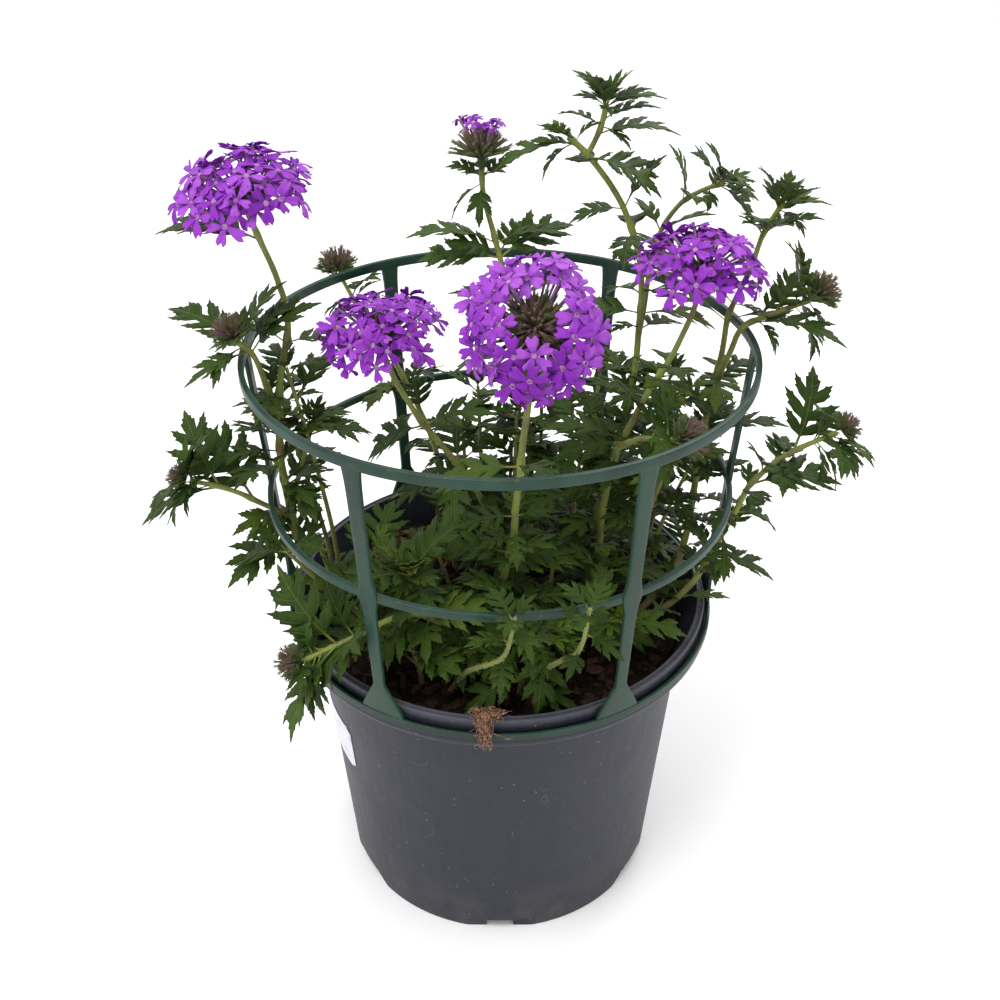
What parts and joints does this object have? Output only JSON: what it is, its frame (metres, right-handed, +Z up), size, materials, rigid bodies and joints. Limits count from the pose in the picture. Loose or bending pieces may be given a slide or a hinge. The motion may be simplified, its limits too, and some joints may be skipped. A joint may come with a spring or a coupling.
{
  "type": "potted verbena",
  "caption": "Flowering verbena in a round plastic nursery pot, its leafy stems and purple flower heads held by a moulded ring support.",
  "frame": {"origin": "centre of the pot's round base, on the surface it stands on", "axes": "+Z up along the pot's axis; -Y towards the side with the coir tuft on the rim; +X towards the side with the arching stem"},
  "size_m": [0.3115, 0.2199, 0.3765],
  "materials": {
    "pot_plastic": "satin",
    "potting_soil": "matte",
    "support_plastic": "satin",
    "label_film": "satin",
    "coir_fibre": "matte",
    "foliage": "matte",
    "petals": "matte",
    "calyx": "matte"
  },
  "bodies": {
    "root": {"bloom_back": "petals", "bloom_front": "petals", "bloom_left": "petals", "bloom_middle": "petals", "bloom_right": "petals", "bud_back": "calyx", "bud_far_left": "calyx", "bud_far_right": "calyx", "bud_inner_right": "calyx", "bud_low_front": "calyx", "bud_right": "calyx", "bud_upper_left": "calyx", "coir_tuft": "coir_fibre", "label": "label_film", "pot": "pot_plastic", "ring_support": "support_plastic", "soil": "potting_soil", "stem_back_bloom": "foliage", "stem_back_bud": "foliage", "stem_front_bloom": "foliage", "stem_low_front": "foliage", "stem_middle_bloom": "foliage", "stem_right_bloom": "foliage", "stem_tall": "foliage", "stems_left": "foliage", "stems_right": "foliage"}
  },
  "joints": []
}
